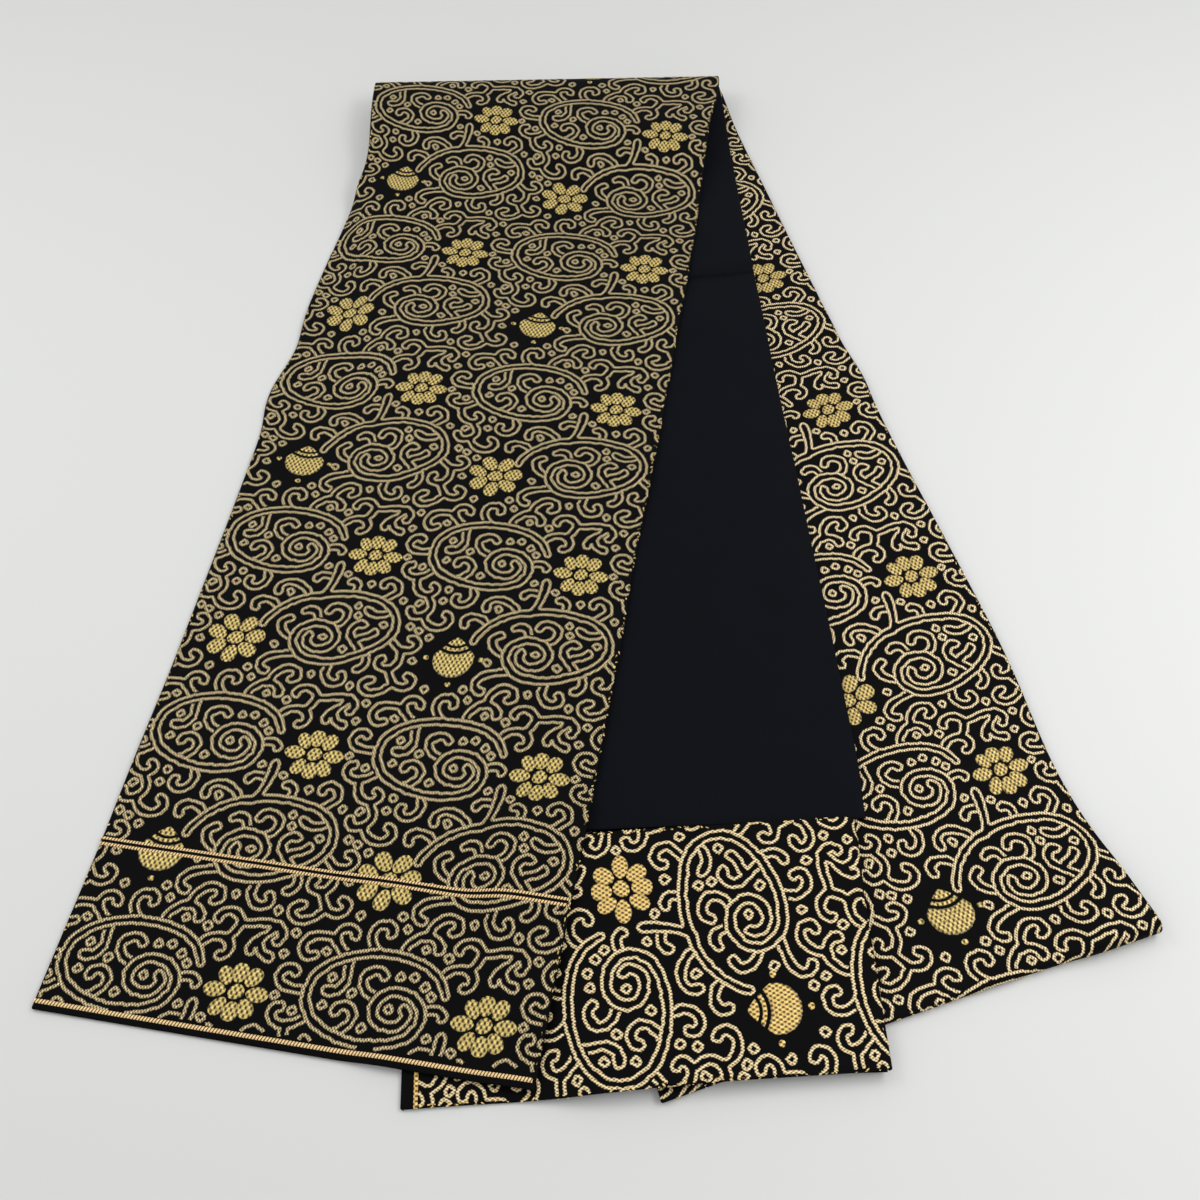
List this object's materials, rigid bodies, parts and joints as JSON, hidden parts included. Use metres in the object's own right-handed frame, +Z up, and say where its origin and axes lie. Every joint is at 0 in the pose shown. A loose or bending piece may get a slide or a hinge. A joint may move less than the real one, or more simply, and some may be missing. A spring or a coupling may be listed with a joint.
{
  "type": "obi sash",
  "caption": "Brocade obi sash with a plain back, folded in a fan and laid flat: tare end on top, hand end doubled and turned across beneath it.",
  "frame": {"origin": "centre of the footprint, on the surface that the folded sash lies on", "axes": "+Z up, +X to the viewer's right, +Y away from the viewer, from the sash's ends to its top fold"},
  "size_m": [0.6879, 0.9303, 0.0283],
  "materials": {
    "face_brocade": "black twill ground with a gold metallic supplementary weft",
    "back_twill": "plain near-black twill, matt with a faint sheen"
  },
  "bodies": {
    "root": {"tare_face": "face_brocade", "tare_back": "back_twill", "inner_face": "face_brocade", "inner_back": "back_twill", "side_face": "face_brocade", "side_back": "back_twill", "hand_end_face": "face_brocade", "hand_end_layers": "back_twill", "under_layers": "face_brocade"}
  },
  "joints": []
}
